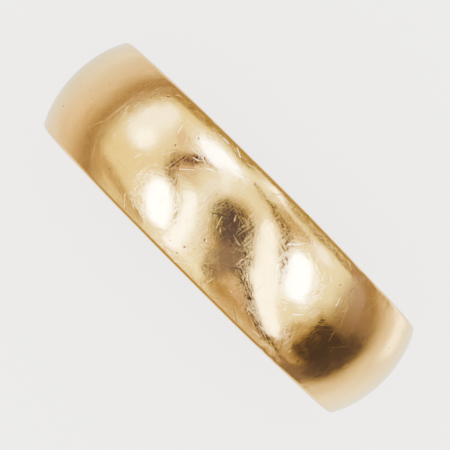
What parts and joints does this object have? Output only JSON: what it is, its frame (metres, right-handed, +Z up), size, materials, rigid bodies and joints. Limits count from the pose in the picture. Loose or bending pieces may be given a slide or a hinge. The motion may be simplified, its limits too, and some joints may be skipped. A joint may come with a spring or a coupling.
{
  "type": "wedding band",
  "caption": "Plain wide finger ring of D-section, domed outside and flat inside, bent from half-round wire and closed by a soldered joint.",
  "frame": {"origin": "centre of the finger hole, midway between the band's two flat sides", "axes": "+Y along the finger hole's axis, +Z up through the crest of the ring opposite the soldered joint, +X to the side, so that the ring stands on its rim"},
  "size_m": [0.022, 0.006, 0.022],
  "materials": {
    "gold": "polished",
    "gold_solder": "polished"
  },
  "bodies": {
    "root": {"band": "gold", "solder_seam": "gold_solder"}
  },
  "joints": []
}
